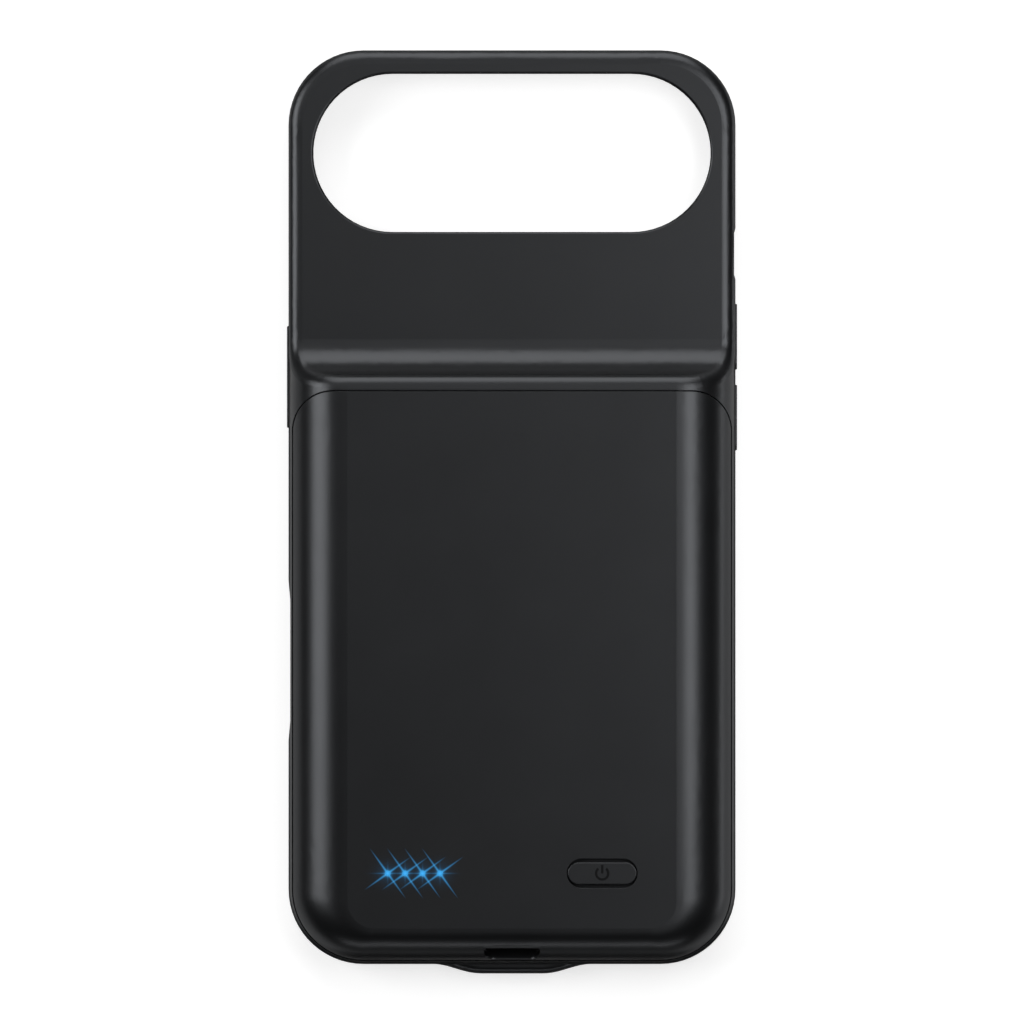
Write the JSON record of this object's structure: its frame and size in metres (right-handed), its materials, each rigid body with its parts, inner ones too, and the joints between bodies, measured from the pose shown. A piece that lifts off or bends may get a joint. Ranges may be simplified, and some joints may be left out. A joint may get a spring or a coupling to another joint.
{
  "type": "battery charging case",
  "caption": "Slim phone case with a built-in battery hump, camera window, side keys, power button, light row, charging port and an inner plug.",
  "frame": {"origin": "middle of the bounding box, on the plane of the front rim that the case rests on", "axes": "+X to the right as seen from the back, +Y towards the camera window, +Z out of the back"},
  "size_m": [0.0796, 0.1632, 0.0149],
  "materials": {
    "frame_black": "satin black elastomer with a fine moulded grain",
    "cover_black": "satin black plastic with a fine moulded grain",
    "button_black": "satin black plastic",
    "key_black": "satin black plastic",
    "light_pin": "clear light guide lit blue",
    "port_steel": "stamped steel",
    "plug_steel": "drawn steel",
    "connector_black": "black moulded insulator",
    "board_laminate": "green solder mask",
    "ribbon_film": "amber film",
    "cell_foil": "laminated foil pouch",
    "tape_white": "white double-sided tape",
    "tab_nickel": "nickel strip",
    "lead_red": "red insulated wire",
    "lead_black": "black insulated wire",
    "switch_plastic": "dark switch housing",
    "lamp_white": "clear lamp package",
    "coil_grey": "moulded coil block",
    "chip_black": "black package",
    "capacitor_tan": "fired body",
    "screw_steel": "plated steel"
  },
  "bodies": {
    "case": {"cradle_frame": "frame_black", "battery_cover": "cover_black", "light_guide": "light_pin", "charge_port_shell": "port_steel", "charge_port_tongue": "connector_black", "plug_shell": "plug_steel", "plug_core": "connector_black", "plug_board": "board_laminate", "plug_ribbon": "ribbon_film", "battery_cell": "cell_foil", "cell_tape": "tape_white", "cell_tabs": "tab_nickel", "protection_board": "board_laminate", "lead_positive": "lead_red", "lead_negative": "lead_black", "main_board": "board_laminate", "switch_body": "switch_plastic", "status_leds": "lamp_white", "boost_inductor": "coil_grey", "control_chips": "chip_black", "filter_capacitors": "capacitor_tan", "board_screws": "screw_steel"},
    "power_button": {"power_button": "button_black", "switch_plunger": "switch_plastic"},
    "side_key": {"side_key": "key_black"},
    "volume_up_key": {"volume_up_key": "key_black"},
    "volume_down_key": {"volume_down_key": "key_black"}
  },
  "joints": [
    {"name": "power_press", "type": "slide", "parent": "case", "child": "power_button", "axis": [0, 0, -1], "range_m": [0, 0.0003], "stiffness_N_per_m": 2000},
    {"name": "side_key_press", "type": "slide", "parent": "case", "child": "side_key", "axis": [1, 0, 0], "range_m": [0, 0.0004], "stiffness_N_per_m": 1500},
    {"name": "volume_up_press", "type": "slide", "parent": "case", "child": "volume_up_key", "axis": [-1, 0, 0], "range_m": [0, 0.0004], "stiffness_N_per_m": 1500},
    {"name": "volume_down_press", "type": "slide", "parent": "case", "child": "volume_down_key", "axis": [-1, 0, 0], "range_m": [0, 0.0004], "stiffness_N_per_m": 1500}
  ]
}
